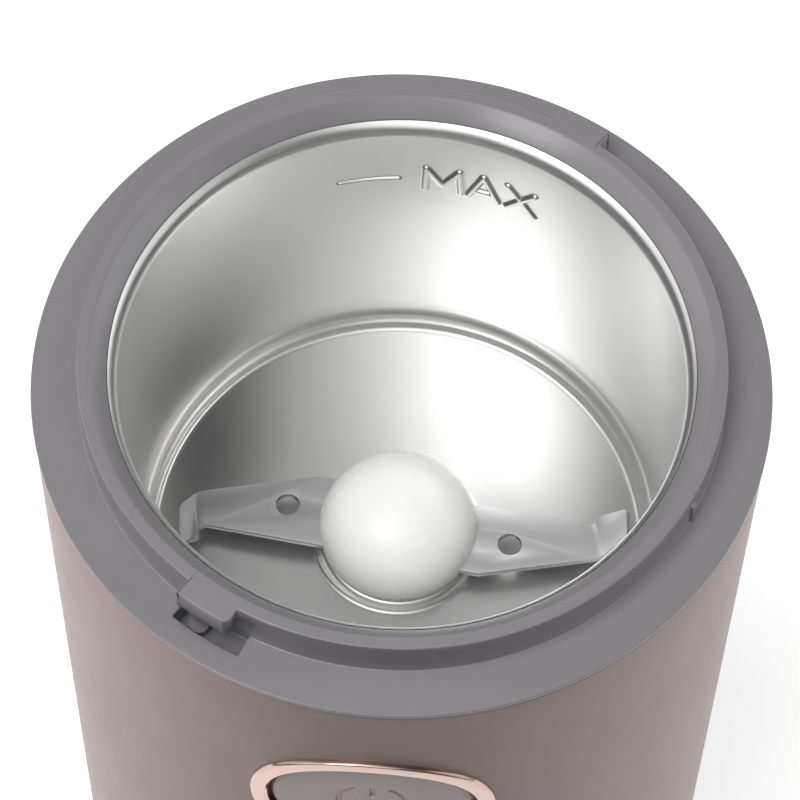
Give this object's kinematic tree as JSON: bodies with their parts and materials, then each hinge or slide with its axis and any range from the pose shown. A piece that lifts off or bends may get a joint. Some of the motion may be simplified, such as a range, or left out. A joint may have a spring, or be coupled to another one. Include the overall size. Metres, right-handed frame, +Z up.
{
  "type": "electric spice grinder",
  "caption": "Cylindrical electric spice grinder with an open steel bowl, winged blade under a domed cap, bayonet collar for a lid and a round push button with a metal ring.",
  "frame": {"origin": "on the table under the axis of the bowl", "axes": "+Z up along the axis of the bowl, blade and motor; -Y is the front, with the button; +X is to the right seen from the front"},
  "size_m": [0.0942, 0.0947, 0.1554],
  "materials": {
    "body_paint": "satin",
    "collar_plastic": "semi-gloss",
    "bowl_steel": "fine brushed",
    "blade_steel": "satin",
    "white_plastic": "gloss",
    "plain_steel": "plain",
    "lamination_steel": "varnished",
    "copper_wire": "enamelled",
    "copper_bar": "turned",
    "bronze": "sintered",
    "cast_alloy": "die cast",
    "carbon": "matt",
    "black_plastic": "matt",
    "grey_plastic": "matt",
    "brown_plastic": "matt",
    "base_plastic": "fine texture",
    "dark_rubber": "matt",
    "rose_metal": "rose gold plated",
    "button_paint": "satin",
    "board_green": "solder mask"
  },
  "bodies": {
    "housing": {"body_shell": "body_paint", "collar": "collar_plastic", "grinding_bowl": "bowl_steel", "rim_gasket": "dark_rubber", "shaft_seal": "dark_rubber", "stator_core": "lamination_steel", "field_coils": "copper_wire", "upper_bracket": "cast_alloy", "lower_bracket": "cast_alloy", "upper_bearing": "bronze", "lower_bearing": "bronze", "motor_screws": "plain_steel", "rubber_mounts": "dark_rubber", "mount_screws": "plain_steel", "brushes": "carbon", "brush_holders": "bronze", "brush_blocks": "brown_plastic", "brush_springs": "plain_steel", "chassis": "grey_plastic", "collar_screws": "plain_steel", "base_plate": "base_plastic", "base_screws": "plain_steel", "rubber_feet": "dark_rubber", "cord_grommet": "dark_rubber", "button_bezel": "rose_metal", "button_spring": "plain_steel", "button_carrier": "grey_plastic", "switch_case": "black_plastic", "switch_board": "board_green", "lid_spring": "plain_steel", "lid_switch": "black_plastic"},
    "spindle": {"blade": "blade_steel", "blade_cap": "white_plastic", "blade_nut": "plain_steel", "drive_shaft": "plain_steel", "rotor_core": "lamination_steel", "rotor_windings": "copper_wire", "commutator": "copper_bar", "cooling_fan": "black_plastic"},
    "push_button": {"button": "button_paint", "switch_plunger": "black_plastic"},
    "lid_pin": {"lid_plunger": "black_plastic"}
  },
  "joints": [
    {"name": "blade_spin", "type": "hinge", "parent": "housing", "child": "spindle", "pos_m": [0, 0, 0.11], "axis": [0, 0, 1], "continuous": true},
    {"name": "button_press", "type": "slide", "parent": "housing", "child": "push_button", "axis": [0, 1, 0], "range_m": [0, 0.001], "stiffness_N_per_m": 600, "springref_m": -0.001, "deforming": ["button_spring"]},
    {"name": "lid_pin_press", "type": "slide", "parent": "housing", "child": "lid_pin", "axis": [0, 0, -1], "range_m": [0, 0.0018], "stiffness_N_per_m": 150, "springref_m": -0.001, "deforming": ["lid_spring"]}
  ]
}
